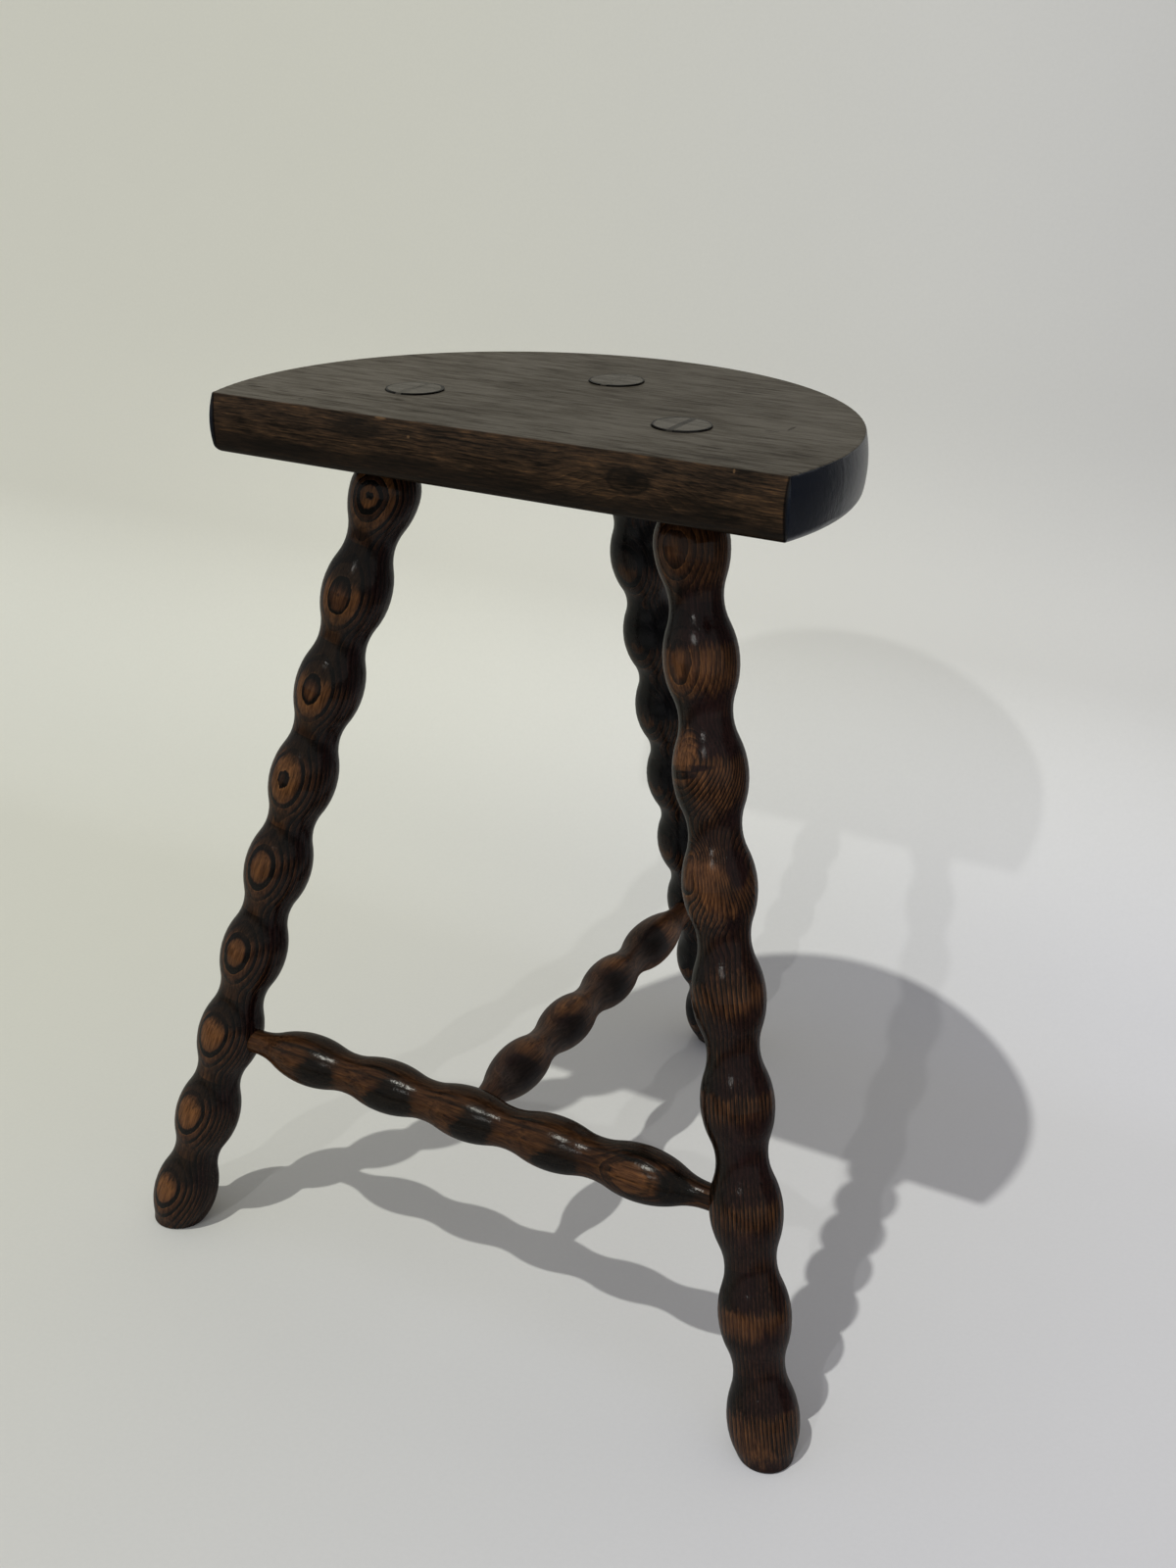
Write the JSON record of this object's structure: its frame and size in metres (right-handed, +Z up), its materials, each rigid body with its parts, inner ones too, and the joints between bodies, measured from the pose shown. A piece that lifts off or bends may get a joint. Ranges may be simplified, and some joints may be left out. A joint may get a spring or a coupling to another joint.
{
  "type": "bobbin-turned stool",
  "caption": "Low stool with a half-round plank seat on splayed bobbin-turned legs wedged through it, tied by turned stretchers joined in a T.",
  "frame": {"origin": "on the floor, in the middle of the stool's width and depth", "axes": "+Z up; -Y is the front, where the seat's straight edge is; +X is to the right as seen from the front"},
  "size_m": [0.3792, 0.3458, 0.4508],
  "materials": {
    "seat_wood": "worn satin, grey-brown",
    "leg_wood": "old glossy varnish, amber to near-black",
    "wedge_wood": "worn satin, dark",
    "stretcher_wood": "old glossy varnish, amber to dark brown"
  },
  "bodies": {
    "root": {"seat": "seat_wood", "leg_front_left": "leg_wood", "leg_front_right": "leg_wood", "leg_rear": "leg_wood", "wedge_front_left": "wedge_wood", "wedge_front_right": "wedge_wood", "wedge_rear": "wedge_wood", "front_stretcher": "stretcher_wood", "mid_stretcher": "stretcher_wood"}
  },
  "joints": []
}
